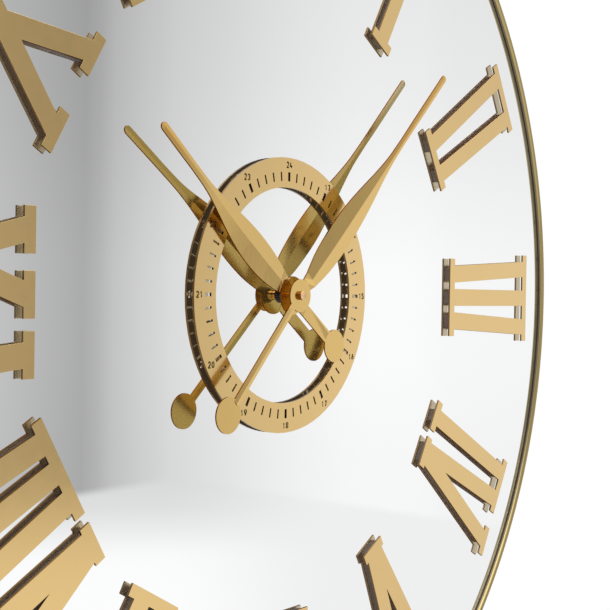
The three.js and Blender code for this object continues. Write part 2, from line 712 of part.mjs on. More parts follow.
function makeCase() {
  const half = caseSize / 2;
  const inner = half - caseWall;
  const shell = cut(box(-half, half, -half, half, caseBack, caseFront),
    box(-inner, inner, partition[1], inner, caseBack - 1, caseInside),
    box(-inner, inner, -inner, partition[0], caseBack - 1, caseInside),
    box(-half - 1, half + 1, partition[0], half + 1, caseBack - 1, coverInside),
    disc(tubeRadius + seat, caseInside - 1, caseFront + 1, { steps: 32 }));
  const posts = boardPosts.map(([x, y]) => (
    disc(1.2, boardSpan.from + boardSpan.thickness, caseInside + 0.5, { x, y, steps: 16 })));
  const statorPost = disc(1.2, statorFrom + statorThickness, caseInside + 0.5,
    { x: coilAt.x, y: coreSpan[0] + 1.2, steps: 16 });
  return join(shell, ...posts, statorPost);
}

function makeCover() {
  const half = caseSize / 2;
  return cut(box(-half, half, partition[0], half, caseBack, coverInside),
    disc(1.6 + seat, caseBack - 1, coverInside + 1, { ...knobAt, steps: 24 }));
}

function makeBattery() {
  const half = batteryLength / 2;
  const profile = [[0, -half], [batteryRadius - 0.5, -half], [batteryRadius, -half + 0.5],
    [batteryRadius, half - 0.5], [batteryRadius - 0.5, half], [batteryNub.radius, half],
    [batteryNub.radius, half + batteryNub.length], [0, half + batteryNub.length]];
  const body = new THREE.LatheGeometry(profile.map(([r, y]) => new THREE.Vector2(r, y)), 32);
  body.applyMatrix4(new THREE.Matrix4().set(0, 1, 0, 0, -1, 0, 0, 0, 0, 0, 1, 0, 0, 0, 0, 1));
  return body.translate(0, batteryAt.y, batteryAt.depth);
}

function makeContact(side) {
  const wall = caseSize / 2 - caseWall;
  const end = batteryLength / 2 + (side > 0 ? batteryNub.length : 0);
  const thin = 0.4;
  const [a, b] = [side * (end + 0.1), side * wall].sort((p, q) => p - q);
  const plate = side > 0 ? [wall - thin, wall] : [-wall, -wall + thin];
  const tongue = side > 0 ? [a, wall - thin + 0.1] : [-wall + thin - 0.1, b];
  return join(
    box(...plate, batteryAt.y - 5, batteryAt.y + 5, batteryAt.depth - 5, batteryAt.depth + 5),
    box(...tongue, batteryAt.y - 1.5, batteryAt.y + 1.5, batteryAt.depth - 1.5, batteryAt.depth + 1.5));
}

addPiece('movement_case', makeCase(), blackPlastic);
addPiece('rear_cover', makeCover(), blackPlastic);
addPiece('stator', makeStator(), steel);
addPiece('coil', makeCoil(), copper);
addPiece('circuit_board', box(...boardSpan.x, ...boardSpan.y, boardSpan.from,
  boardSpan.from + boardSpan.thickness), boardGreen);
addPiece('battery', makeBattery(), batterySleeve);
addPiece('contact_plus', makeContact(1), nickel);
addPiece('contact_minus', makeContact(-1), nickel);

// tube, washer and nut that clamp the movement to the board

const tubeEnd = mirror + tubeStand;
const boreRadius = pipeRadius + runningGap;
addPiece('shaft_tube', turned([[boreRadius, caseInside - 0.5], [tubeRadius + 2, caseInside - 0.5],
  [tubeRadius + 2, caseInside], [tubeRadius, caseInside], [tubeRadius, tubeEnd - 0.4],
  [tubeRadius - 0.4, tubeEnd], [boreRadius, tubeEnd], [boreRadius, caseInside - 0.5]], 40), blackPlastic);
addPiece('washer', disc(washer.radius, nutSeat, nutSeat + washer.thickness,
  { steps: 32, bore: tubeRadius + seat }), nickel);

function makeNut() {
  const corner = nutFlats / Math.sqrt(3);
  const hexagon = outline(Array.from({ length: 6 }, (_, i) => (
    [corner * Math.cos(i * Math.PI / 3), corner * Math.sin(i * Math.PI / 3)])));
  hexagon.holes.push(new THREE.Path().absarc(0, 0, tubeRadius + seat, 0, 2 * Math.PI, true));
  const from = nutSeat + washer.thickness;
  return slab(hexagon, from, from + nutThickness, 16);
}

addPiece('shaft_nut', makeNut(), brass);

// hanger and bumpers behind the board

function makeHanger() {
  const half = hangerLength / 2;
  const foot = half - 14;
  const bridge = foot - 4;
  const back = boardBack - hangerGap - hangerThickness;
  const under = boardBack - hangerThickness;
  const section = outline([
    [-half, boardBack], [-foot, boardBack], [-bridge, back + hangerThickness],
    [bridge, back + hangerThickness], [foot, boardBack], [half, boardBack], [half, under],
    [foot + 0.6, under], [bridge + 0.6, back], [-bridge - 0.6, back], [-foot - 0.6, under], [-half, under],
  ].map(([x, depth]) => [x, -depth]));
  const strip = new THREE.ExtrudeGeometry(section, { depth: hangerWidth, bevelEnabled: false });
  const bottom = hangerLevel - hangerWidth / 2;
  strip.applyMatrix4(new THREE.Matrix4().set(1, 0, 0, 0, 0, 0, 1, bottom, 0, -1, 0, 0, 0, 0, 0, 1));
  const teeth = Array.from({ length: 7 }, (_, i) => {
    const x = (i - 3) * 6;
    return slab(outline([[x - 2.4, bottom - 1], [x + 2.4, bottom - 1], [x, bottom + 2.2]]), 0, boardBack);
  });
  const holes = [-1, 1].map((side) => (
    disc(screwRadius + seat, 0, boardBack + 1, { x: side * screwPlace, y: hangerLevel, steps: 20 })));
  return cut(strip, ...teeth, ...holes);
}

function makeScrew() {
  const under = boardBack - hangerThickness;
  return turned([[0, under - screwHead.thickness], [screwHead.radius - 1, under - screwHead.thickness],
    [screwHead.radius, under - screwHead.thickness + 0.8], [screwHead.radius, under], [screwRadius, under],
    [screwRadius, boardBack + screwLength - 2], [0, boardBack + screwLength - 0.5]], 24);
}

addPiece('hanger', makeHanger(), steel);
for (const [side, name] of [[-1, 'left'], [1, 'right']]) {
  addPiece(`hanger_screw_${name}`, makeScrew(), steel, { x: side * screwPlace, y: hangerLevel });
  addPiece(`bumper_${name}`, disc(bumperRadius, 0, boardBack, { steps: 32 }), blackFoam,
    { x: side * bumperPlace, y: -bumperPlace });
}

export default group;
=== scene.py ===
import json
from math import cos, pi, radians, sin

import bmesh
import bpy
from mathutils import Matrix, Vector


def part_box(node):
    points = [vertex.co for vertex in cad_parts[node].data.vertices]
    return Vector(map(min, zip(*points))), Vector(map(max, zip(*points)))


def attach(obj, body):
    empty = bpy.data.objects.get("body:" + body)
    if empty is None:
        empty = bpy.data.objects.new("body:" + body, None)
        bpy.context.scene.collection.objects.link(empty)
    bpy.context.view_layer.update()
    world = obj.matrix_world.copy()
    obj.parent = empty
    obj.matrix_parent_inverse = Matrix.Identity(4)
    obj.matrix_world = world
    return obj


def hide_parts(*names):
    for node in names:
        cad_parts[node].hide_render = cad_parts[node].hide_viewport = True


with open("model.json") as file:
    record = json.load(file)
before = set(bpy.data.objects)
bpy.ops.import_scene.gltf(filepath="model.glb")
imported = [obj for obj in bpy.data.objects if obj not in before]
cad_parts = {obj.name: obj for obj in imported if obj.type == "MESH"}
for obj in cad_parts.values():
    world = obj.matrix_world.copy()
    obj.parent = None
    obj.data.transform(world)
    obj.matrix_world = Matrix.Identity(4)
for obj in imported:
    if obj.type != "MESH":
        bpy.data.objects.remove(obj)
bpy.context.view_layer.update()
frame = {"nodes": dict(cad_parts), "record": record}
scene = bpy.context.scene
mm = 0.001
mirrorDepth = 31                          # millimetres from the wall to the mirror's face
mergeGap = 0.001 * mm                     # corners nearer than this become one
print("frame loaded:", len(frame["nodes"]), "nodes")

# camera

cameraValues = {
    "place": (-0.4822, -0.41142, 0.00167),    # in metres
    "yaw": 52.807,                        # degrees from +Y towards +X
    "pitch": -0.608,
    "roll": 0.896,
    "focal": 1183.0,                      # in pixels
    "frameWidth": 610,                    # in pixels
    "sensorWidth": 36,                    # in millimetres
    "clip": (0.01, 60),
}


def addCamera(values):
    yaw, pitch, roll = (radians(values[key]) for key in ("yaw", "pitch", "roll"))
    look = Vector((sin(yaw) * cos(pitch), cos(yaw) * cos(pitch), sin(pitch)))
    level = Vector((cos(yaw), -sin(yaw), 0))
    upright = level.cross(look)
    right = cos(roll) * level + sin(roll) * upright
    up = -sin(roll) * level + cos(roll) * upright
    data = bpy.data.cameras.new("photoCamera")
    data.sensor_width = values["sensorWidth"]
    data.lens = values["sensorWidth"] * values["focal"] / values["frameWidth"]
    data.clip_start, data.clip_end = values["clip"]
    camera = bpy.data.objects.new("photoCamera", data)
    turn = Matrix((right, up, -look)).transposed()
    camera.matrix_world = Matrix.Translation(values["place"]) @ turn.to_4x4()
    scene.collection.objects.link(camera)
    scene.camera = camera


addCamera(cameraValues)
scene.view_settings.view_transform = "Standard"
print("camera set")

# node helpers


def placeNode(tree, kind, **settings):
    node = tree.nodes.new("ShaderNode" + kind)
    for name, value in settings.items():
        setattr(node, name, value)
    return node


def feed(tree, socket, value):
    if isinstance(value, bpy.types.NodeSocket):
        tree.links.new(value, socket)
    else:
        socket.default_value = value


def calc(tree, operation, *values):
    node = placeNode(tree, "Math", operation=operation)
    for socket, value in zip(node.inputs, values):
        feed(tree, socket, value)
    return node.outputs[0]


def blendValue(tree, share, first, second):
    node = placeNode(tree, "Mix", data_type="FLOAT")
    for index, value in ((0, share), (2, first), (3, second)):
        feed(tree, node.inputs[index], value)
    return node.outputs[0]


# how far the value lies from low to high, between 0 and 1
def span(tree, value, low, high, kind="SMOOTHSTEP"):
    node = placeNode(tree, "MapRange", interpolation_type=kind)
    for socket, given in zip(node.inputs, (value, low, high)):
        feed(tree, socket, given)
    return node.outputs[0]


def ramp(tree, value, stops):
    node = placeNode(tree, "ValToRGB")
    elements = node.color_ramp.elements
    while len(elements) > 1:
        elements.remove(elements[-1])
    for index, (position, level) in enumerate(stops):
        element = elements[0] if index == 0 else elements.new(position)
        element.position = position
        element.color = (level, level, level, 1)
    feed(tree, node.inputs[0], value)
    return node.outputs[0]


# studio

studioValues = {
    "camera": 1.0,                        # brightness that the camera sees behind the scene
    "diffuse": 0.78,                      # brightness that lights the object
    "floorRise": 0.2165,                  # tangent under which the floor ends at the tent's side walls
    "floorEdge": (-0.006, 0.003),         # how softly the floor meets the tent there
    "corner": 1.055,                      # the side walls are farther than the front wall by this factor
    # degrees from -Y, brightness of the tent at eye level
    "tent": [(0, 0.80), (25, 0.76), (38, 0.56), (42.5, 0.41), (43, 0.49), (43.5, 0.555), (44.5, 0.62),
             (45.2, 0.665), (45.6, 0.68), (46.4, 0.73), (47, 0.75), (49, 0.81), (50.2, 0.86), (52.5, 0.93),
             (55, 0.98), (56.5, 0.99), (58.5, 0.985), (59.6, 0.96), (63, 0.945), (75, 0.92), (90, 0.90),
             (180, 0.88)],
    # height of the direction, share of that brightness
    "height": [(-0.14, 0.97), (-0.06, 1.0), (0.02, 1.0), (0.08, 0.95), (0.115, 0.915), (0.175, 0.875),
               (0.24, 0.845), (0.45, 1.0), (0.58, 1.9), (0.75, 3.4), (1.0, 3.6)],
    # the floor as the photo's left shows it, by height of the direction, and as its right shows it;
    # the one goes over into the other between these degrees from -Y
    "floorLeft": [(-0.3, 1.03), (-0.22, 0.995), (-0.21, 0.95), (-0.2, 0.875), (-0.18, 0.76),
                  (-0.165, 0.725), (-0.15, 0.70)],
    "floorRight": 0.89,
    "floorBlend": (45.5, 55),
}


def addWorld(values):
    world = bpy.data.worlds.new("studio")
    world.use_nodes = True
    tree = world.node_tree
    tree.nodes.clear()
    direction = placeNode(tree, "SeparateXYZ")
    tree.links.new(placeNode(tree, "TexCoord").outputs["Generated"], direction.inputs[0])
    x, y, z = direction.outputs
    side = calc(tree, "ABSOLUTE", x)
    azimuth = calc(tree, "DIVIDE", calc(tree, "ARCTAN2", side, calc(tree, "MULTIPLY", y, -1.0)), pi)
    wall = ramp(tree, azimuth, [(degrees / 180, level) for degrees, level in values["tent"]])
    half = calc(tree, "MULTIPLY_ADD", z, 0.5, 0.5)           # a ramp runs from 0 to 1
    fade = ramp(tree, half, [(0.5 + 0.5 * height, level) for height, level in values["height"]])
    tent = calc(tree, "MULTIPLY", wall, fade)
    left = ramp(tree, half, [(0.5 + 0.5 * height, level) for height, level in values["floorLeft"]])
    across = span(tree, azimuth, *(degrees / 180 for degrees in values["floorBlend"]))
    floor = blendValue(tree, across, left, values["floorRight"])
    reach = calc(tree, "MAXIMUM", side, calc(tree, "MULTIPLY", calc(tree, "ABSOLUTE", y), values["corner"]))
    above = calc(tree, "MULTIPLY_ADD", reach, values["floorRise"], z)
    seen = blendValue(tree, span(tree, above, *values["floorEdge"]), floor, tent)
    path = placeNode(tree, "LightPath")
    shiny = calc(tree, "MAXIMUM", path.outputs["Is Glossy Ray"], path.outputs["Is Transmission Ray"])
    level = blendValue(tree, path.outputs["Is Camera Ray"],
                       blendValue(tree, shiny, values["diffuse"], seen), values["camera"])
    background = placeNode(tree, "Background")
    background.inputs["Color"].default_value = (1, 1, 1, 1)
    tree.links.new(level, background.inputs["Strength"])
    tree.links.new(background.outputs[0], placeNode(tree, "OutputWorld").inputs[0])
    scene.world = world


stageValues = {
    "wallSize": (7.0, 5.0),
    "wallCentre": 0.4,
    "wallGap": 0.6 * mm,                  # behind the bumpers and the hanger
    "floorLevel": -1.8,
    "floorSize": (9.0, 9.0),
    "colour": (0.93, 0.93, 0.925, 1),
    "roughness": 0.9,
    "specular": 0.1,
}


def addStage(values):
    material = bpy.data.materials.new("stagePaint")
    material.use_nodes = True
    tree = material.node_tree
    paint = tree.nodes["Principled BSDF"]
    paint.inputs["Base Color"].default_value = values["colour"]
    paint.inputs["Roughness"].default_value = values["roughness"]
    paint.inputs["Specular IOR Level"].default_value = values["specular"]
    # paint in front and nothing behind, so that a camera behind the wall sees the clock's back
    mix = placeNode(tree, "MixShader")
    tree.links.new(placeNode(tree, "NewGeometry").outputs["Backfacing"], mix.inputs[0])
    tree.links.new(paint.outputs[0], mix.inputs[1])
    tree.links.new(placeNode(tree, "BsdfTransparent").outputs[0], mix.inputs[2])
    tree.links.new(mix.outputs[0], tree.nodes["Material Output"].inputs[0])
    wall = Matrix.Translation((0, values["wallGap"], values["wallCentre"])) @ Matrix.Rotation(pi / 2, 4, "X")
    floor = Matrix.Translation((0, -values["floorSize"][1] / 2, values["floorLevel"]))
    for name, size, place in (("wall", values["wallSize"], wall), ("floor", values["floorSize"], floor)):
        shape = bmesh.new()
        bmesh.ops.create_grid(shape, x_segments=1, y_segments=1, size=0.5)
        bmesh.ops.scale(shape, vec=(size[0], size[1], 1), verts=shape.verts)
        bmesh.ops.transform(shape, matrix=place, verts=shape.verts)
        mesh = bpy.data.meshes.new(name)
        shape.to_mesh(mesh)
        shape.free()
        mesh.materials.append(material)
        backdrop = bpy.data.objects.new(name, mesh)
        backdrop.visible_glossy = False
        scene.collection.objects.link(backdrop)


lampValues = [
    # metres and watts
    {"name": "keyLamp", "place": (-1.7, -2.4, 1.7), "size": 1.8, "power": 34},
    {"name": "fillLamp", "place": (2.2, -1.9, 0.5), "size": 1.8, "power": 18},
    {"name": "backLamp", "place": (-0.6, 2.2, 1.0), "size": 1.6, "power": 16},
]


def addLamps(values):
    for lamp in values:
        data = bpy.data.lights.new(lamp["name"], "AREA")
        data.energy = lamp["power"]
        data.size = lamp["size"]
        holder = bpy.data.objects.new(lamp["name"], data)
        away = Vector(lamp["place"])
        turn = away.to_track_quat("Z", "Y").to_matrix().to_4x4()
        holder.matrix_world = Matrix.Translation(away) @ turn
        holder.visible_glossy = False
        holder.visible_camera = False
        scene.collection.objects.link(holder)


addWorld(studioValues)
addStage(stageValues)
addLamps(lampValues)
print("studio lit")

# finishes


def makeGroup(name, inputs):
    tree = bpy.data.node_groups.new(name, "ShaderNodeTree")
    common = [("Colour", "Color", (1, 1, 1, 1)), ("Shade", "Float", 0.05), ("Roughness", "Float", 0.3),
              ("Spread", "Float", 0.05)]
    for label, kind, value in common + inputs:
        socket = tree.interface.new_socket(name=label, in_out="INPUT", socket_type="NodeSocket" + kind)
        socket.default_value = value
    for label, kind in (("Colour", "Color"), ("Roughness", "Float"), ("Height", "Float")):
        tree.interface.new_socket(name=label, in_out="OUTPUT", socket_type="NodeSocket" + kind)
    return tree, tree.nodes.new("NodeGroupInput"), tree.nodes.new("NodeGroupOutput")


# the pattern, from 0 to 1, varies the colour and the roughness about their given values
def finishGroup(tree, given, result, pattern):
    centred = calc(tree, "MULTIPLY_ADD", pattern, 2.0, -1.0)
    colour = placeNode(tree, "VectorMath", operation="SCALE")
    tree.links.new(given.outputs["Colour"], colour.inputs[0])
    tree.links.new(calc(tree, "MULTIPLY_ADD", centred, given.outputs["Shade"], 1.0), colour.inputs["Scale"])
    tree.links.new(colour.outputs[0], result.inputs["Colour"])
    rough = calc(tree, "MULTIPLY_ADD", centred, given.outputs["Spread"], given.outputs["Roughness"])
    tree.links.new(calc(tree, "MAXIMUM", rough, 0.0), result.inputs["Roughness"])
    tree.links.new(pattern, result.inputs["Height"])
    return tree


# scales of the second layer against the first, shares of the second layer, and the brush's stretch
patternValues = {
    "noiseRange": (0.3, 0.7),             # spread over 0 to 1
    "cloudFine": 16.0, "cloudMix": 0.35,
    "brushCloud": 0.03, "brushMix": 0.3, "brushStretch": 0.02,
    "turnedCloud": 0.05, "turnedMix": 0.35,
    "cellMottle": 0.2, "cellMix": 0.55,
}


def noise(tree, vector, scale, detail=2.0):
    node = placeNode(tree, "TexNoise")
    tree.links.new(vector, node.inputs["Vector"])
    feed(tree, node.inputs["Scale"], scale)
    node.inputs["Detail"].default_value = detail
    return span(tree, node.outputs[0], *patternValues["noiseRange"], kind="LINEAR")


def makeCloudGroup(values):
    tree, given, result = makeGroup("cloudyTone", [("Scale", "Float", 60.0)])
    place = placeNode(tree, "TexCoord").outputs["Object"]
    coarse = noise(tree, place, given.outputs["Scale"], detail=3.0)
    fine = noise(tree, place, calc(tree, "MULTIPLY", given.outputs["Scale"], values["cloudFine"]))
    return finishGroup(tree, given, result, blendValue(tree, values["cloudMix"], coarse, fine))


def makeBrushedGroup(values):
    tree, given, result = makeGroup("brushedLines", [("Scale", "Float", 900.0), ("Turn", "Float", 0.0)])
    turned = placeNode(tree, "VectorRotate", rotation_type="Y_AXIS")
    tree.links.new(placeNode(tree, "TexCoord").outputs["Object"], turned.inputs["Vector"])
    tree.links.new(given.outputs["Turn"], turned.inputs["Angle"])
    stretched = placeNode(tree, "VectorMath", operation="MULTIPLY")
    tree.links.new(turned.outputs[0], stretched.inputs[0])
    stretched.inputs[1].default_value = (1, 1, values["brushStretch"])
    lines = noise(tree, stretched.outputs[0], given.outputs["Scale"], detail=3.0)
    wide = calc(tree, "MULTIPLY", given.outputs["Scale"], values["brushCloud"])
    cloud = noise(tree, turned.outputs[0], wide)
    return finishGroup(tree, given, result, blendValue(tree, values["brushMix"], lines, cloud))


def makeTurnedGroup(values):
    tree, given, result = makeGroup("turnedLines", [("Scale", "Float", 3000.0)])
    place = placeNode(tree, "TexCoord").outputs["Object"]
    parts = placeNode(tree, "SeparateXYZ")
    tree.links.new(place, parts.inputs[0])
    x, depth, z = parts.outputs
    radius = calc(tree, "SQRT", calc(tree, "MULTIPLY_ADD", x, x, calc(tree, "MULTIPLY", z, z)))
    across = calc(tree, "ADD", radius, depth)
    rings = placeNode(tree, "TexNoise", noise_dimensions="1D")
    feed(tree, rings.inputs["W"], across)
    feed(tree, rings.inputs["Scale"], given.outputs["Scale"])
    cloud = noise(tree, place, calc(tree, "MULTIPLY", given.outputs["Scale"], values["turnedCloud"]))
    return finishGroup(tree, given, result, blendValue(tree, values["turnedMix"], rings.outputs[0], cloud))


def makeCellGroup(values):
    tree, given, result = makeGroup("foamCells", [("Scale", "Float", 1500.0)])
    place = placeNode(tree, "TexCoord").outputs["Object"]
    cells = placeNode(tree, "TexVoronoi")
    tree.links.new(place, cells.inputs["Vector"])
    feed(tree, cells.inputs["Scale"], given.outputs["Scale"])
    wide = calc(tree, "MULTIPLY", given.outputs["Scale"], values["cellMottle"])
    mottle = noise(tree, place, wide, detail=4.0)
    pattern = blendValue(tree, values["cellMix"], cells.outputs["Distance"], mottle)
    return finishGroup(tree, given, result, pattern)


# the colour changes along the hands, with the distance from their axis
def makeReachGroup():
    tree = bpy.data.node_groups.new("colourByReach", "ShaderNodeTree")
    for label, kind in (("Near", "Color"), ("Far", "Color"), ("Start", "Float"), ("End", "Float")):
        tree.interface.new_socket(name=label, in_out="INPUT", socket_type="NodeSocket" + kind)
    tree.interface.new_socket(name="Colour", in_out="OUTPUT", socket_type="NodeSocketColor")
    given, result = tree.nodes.new("NodeGroupInput"), tree.nodes.new("NodeGroupOutput")
    flat = placeNode(tree, "VectorMath", operation="MULTIPLY")
    tree.links.new(placeNode(tree, "TexCoord").outputs["Object"], flat.inputs[0])
    flat.inputs[1].default_value = (1, 0, 1)
    length = placeNode(tree, "VectorMath", operation="LENGTH")
    tree.links.new(flat.outputs[0], length.inputs[0])
    share = span(tree, length.outputs["Value"], given.outputs["Start"], given.outputs["End"])
    blend = placeNode(tree, "Mix", data_type="RGBA")
    tree.links.new(share, blend.inputs["Factor"])
    tree.links.new(given.outputs["Near"], blend.inputs["A"])
    tree.links.new(given.outputs["Far"], blend.inputs["B"])
    tree.links.new(blend.outputs["Result"], result.inputs["Colour"])
    return tree


groups = {"cloud": makeCloudGroup(patternValues), "brushed": makeBrushedGroup(patternValues),
          "turned": makeTurnedGroup(patternValues), "cells": makeCellGroup(patternValues),
          "reach": makeReachGroup()}


# glow is a faint painted light for surfaces in the shade between the plates, the hands and the mirror, edge
# the tint at a grazing angle, far the colour at the hands' ends
def makeFinish(name, pattern, colour, roughness, metallic=0.0, bump=0.0, coat=0.0, glow=None, far=None,
               edge=None, **inputs):
    material = bpy.data.materials.new(name)
    material.use_nodes = True
    tree = material.node_tree
    shader = tree.nodes["Principled BSDF"]
    tone = placeNode(tree, "Group", node_tree=groups[pattern])
    tone.inputs["Colour"].default_value = (*colour, 1)
    tone.inputs["Roughness"].default_value = roughness
    for label, value in inputs.items():
        tone.inputs[label.capitalize()].default_value = value
    if edge:
        shader.inputs["Specular Tint"].default_value = (*edge, 1)
    if far:
        along = placeNode(tree, "Group", node_tree=groups["reach"])
        for label, value in zip(("Near", "Far", "Start", "End"),
                                ((*colour, 1), (*far["colour"], 1), far["start"] * mm, far["end"] * mm)):
            along.inputs[label].default_value = value
        tree.links.new(along.outputs["Colour"], tone.inputs["Colour"])
    tree.links.new(tone.outputs["Colour"], shader.inputs["Base Color"])
    tree.links.new(tone.outputs["Roughness"], shader.inputs["Roughness"])
    shader.inputs["Metallic"].default_value = metallic
    shader.inputs["Coat Weight"].default_value = coat
    if glow:
        shader.inputs["Emission Color"].default_value = (*glow, 1)
        shader.inputs["Emission Strength"].default_value = 1.0
    if bump:
        relief = placeNode(tree, "Bump")
        relief.inputs["Distance"].default_value = bump * mm
        tree.links.new(tone.outputs["Height"], relief.inputs["Height"])
        tree.links.new(relief.outputs[0], shader.inputs["Normal"])
    return material


finishes = {
    "gold_plate": makeFinish("goldPlate", "cloud", (0.77, 0.54, 0.235), 0.14, 1, shade=0.02, scale=12,
                             spread=0.03),
    "gold_hand": makeFinish("goldHand", "brushed", (0.745, 0.505, 0.18), 0.16, 1,
                            far={"colour": (0.755, 0.465, 0.14), "start": 85, "end": 120}, shade=0.012,
                            spread=0.015),
    # the rim's gold tone is darkened to olive as painted shade, for the darker surroundings that the rim
    # reflects
    "gold_rim": makeFinish("goldRimShaded", "cloud", (0.42, 0.325, 0.14), 0.12, 1, shade=0.04, scale=40,
                           spread=0.03),
    "brass": makeFinish("turnedBrass", "turned", (0.80, 0.53, 0.29), 0.2, 1, shade=0.06, spread=0.06),
    "mirror": makeFinish("silveredGlass", "cloud", (0.965, 0.97, 0.97), 0.003, 1, shade=0.003, scale=9,
                         spread=0.003),
    "board_paint": makeFinish("boardPaint", "cloud", (0.024, 0.023, 0.022), 0.6, bump=0.12, shade=0.35,
                              scale=90),
    # the foam's own colour is dark brown; its faint glow is painted light for the little light that reaches
    # under the plates
    "foam": makeFinish("foamTape", "cells", (0.10, 0.076, 0.058), 0.85, bump=0.1,
                       glow=(0.024, 0.0165, 0.0125), shade=0.25),
    "felt": makeFinish("blackFelt", "cells", (0.02, 0.02, 0.02), 0.95, bump=0.15, shade=0.4, scale=2500),
    "black_plastic": makeFinish("blackPlastic", "cloud", (0.02, 0.02, 0.021), 0.4, bump=0.02, shade=0.15,
                                scale=500),
    "white_plastic": makeFinish("whitePlastic", "cloud", (0.78, 0.77, 0.73), 0.4, bump=0.01, shade=0.03,
                                scale=300),
    "magnet": makeFinish("ferrite", "cloud", (0.05, 0.05, 0.055), 0.5, bump=0.02, shade=0.2, scale=800),
    "steel": makeFinish("zincSteel", "brushed", (0.62, 0.63, 0.65), 0.32, 1, shade=0.08, spread=0.1,
                        turn=pi / 2),
    "nickel": makeFinish("nickelStrip", "brushed", (0.68, 0.65, 0.6), 0.22, 1, shade=0.05, turn=pi / 2),
    "copper_wire": makeFinish("copperWire", "brushed", (0.6, 0.22, 0.09), 0.35, 1, bump=0.1, shade=0.3,
                              turn=pi / 2),
    "circuit_board": makeFinish("solderMask", "cloud", (0.02, 0.11, 0.04), 0.35, shade=0.15, scale=150,
                                coat=0.5),
    "battery_sleeve": makeFinish("batterySleeve", "brushed", (0.07, 0.085, 0.11), 0.25, 0.4, shade=0.05,
                                 coat=0.6),
}
extraFinishes = {
    # the cut edges' dark brown is their own; their faint glow is painted light for the shaded gap next to
    # the mirror
    "cutEdge": makeFinish("cutEdge", "cloud", (0.14, 0.09, 0.045), 0.3, 1, glow=(0.022, 0.014, 0.008),
                          edge=(0.3, 0.2, 0.13), shade=0.1, scale=120),
    "slotEdge": makeFinish("slotEdge", "cloud", (0.17, 0.095, 0.03), 0.3, 1, shade=0.15, scale=300),
    # the plates' dull backs glow faintly as painted light, for the shade between them and the mirror
    "dullBack": makeFinish("dullBack", "cloud", (0.54, 0.465, 0.32), 0.22, 1, glow=(0.032, 0.022, 0.015),
                           shade=0.03, scale=40),
    # the ring's back glows faintly as painted light, for the shade between it and the mirror
    "ringBack": makeFinish("ringBack", "cloud", (0.52, 0.46, 0.35), 0.1, 1, glow=(0.021, 0.015, 0.009),
                           shade=0.25, scale=60),
    # the hands' backs are a darker copy of their gold as painted shade, darkest near the hub as painted
    # shade and reflection of the hubs, with a faint painted glow
    "handBackShade": makeFinish("handBackShade", "cloud", (0.44, 0.31, 0.085), 0.2, 1, glow=(0.038, 0.019, 0.004),
                           far={"colour": (0.54, 0.45, 0.235), "start": 110, "end": 200}, shade=0.03,
                           scale=30, spread=0.02),
    # the hands' sides are painted dark maroon-brown: painted reflection and shade of the dark parts round
    # the hub
    "handEdgeShade": makeFinish("handEdgeShade", "cloud", (0.135, 0.052, 0.012), 0.18, 1, edge=(0.4, 0.25, 0.15),
                           shade=0.05, scale=60),
    # a darker copy of the rim's gold on the bead's lower inner side: painted shade
    "rimInnerShade": makeFinish("rimInnerShade", "cloud", (0.2, 0.165, 0.1), 0.3, 1, shade=0.15, scale=120),
    # the step at the foot of the bead is painted near black: a painted shadow of the gap under the rim
    "rimGapShadow": makeFinish("rimGapShadow", "cloud", (0.02, 0.012, 0.005), 0.6, shade=0.2, scale=200),
    # the pin's side is a darker brown copy of its brass: painted shade
    "pinSideShade": makeFinish("pinSideShade", "cloud", (0.22, 0.10, 0.022), 0.22, 1, shade=0.1, scale=300),
    "terminal": makeFinish("terminal", "turned", (0.6, 0.6, 0.58), 0.28, 1, shade=0.06),
    "batteryBand": makeFinish("batteryBand", "cloud", (0.62, 0.5, 0.3), 0.25, 0.9, shade=0.03, coat=0.5),
    "mould": makeFinish("mouldedFrame", "cloud", (0.024, 0.024, 0.025), 0.55, bump=0.03, shade=0.2,
                        scale=900),
}

slotOf = {part["node"]: part["material_slot"] for part in frame["record"]["subparts"]}
bodyOf = {node: body for body, nodes in frame["record"]["behaviour"]["bodies"].items() for node in nodes}
for name, node in frame["nodes"].items():
    node.data.materials.clear()
    node.data.materials.append(finishes[slotOf[name]])
print("finishes made:", len(finishes) + len(extraFinishes))

# pieces


# the piece rides on the body of the first node and takes the place of all of them
def addPiece(name, shape, nodes, sharpAngle=30.0, others=(), replace=True):
    bmesh.ops.recalc_face_normals(shape, faces=shape.faces)
    mesh = bpy.data.meshes.new(name)
    shape.to_mesh(mesh)
    shape.free()
    mesh.polygons.foreach_set("use_smooth", [len(side.vertices) < 5 for side in mesh.polygons])
    mesh.set_sharp_from_angle(angle=radians(sharpAngle))
    mesh.materials.append(finishes[slotOf[nodes[0]]])
    for other in others:
        mesh.materials.append(extraFinishes[other])
    piece = bpy.data.objects.new(name, mesh)
    scene.collection.objects.link(piece)
    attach(piece, bodyOf[nodes[0]])
    if replace:
        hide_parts(*nodes)
    return piece


# the node's triangles, merged and joined where they lie in one plane
def copyOf(nodeName, flatAngle=0.4):
    shape = bmesh.new()
    shape.from_mesh(frame["nodes"][nodeName].data)
    bmesh.ops.remove_doubles(shape, verts=shape.verts, dist=2 * mergeGap)
    bmesh.ops.dissolve_limit(shape, angle_limit=radians(flatAngle), verts=shape.verts, edges=shape.edges)
    bmesh.ops.recalc_face_normals(shape, faces=shape.faces)
    return shape


facingFront = 0.5                         # cosine of the widest angle that still counts as front or back


# the side faces and the back faces of a plate have their own finishes
def markSides(shape, sides, back):
    for face in shape.faces:
        forward = -face.normal.y
        face.material_index = 0 if forward > facingFront else back if forward < -facingFront else sides
    return shape


def softenEdges(piece, width, angle=35.0, segments=2):
    bevel = piece.modifiers.new("edges", "BEVEL")
    bevel.width = width * mm
    bevel.segments = segments
    bevel.limit_method = "ANGLE"
    bevel.angle_limit = radians(angle)
    bevel.harden_normals = True


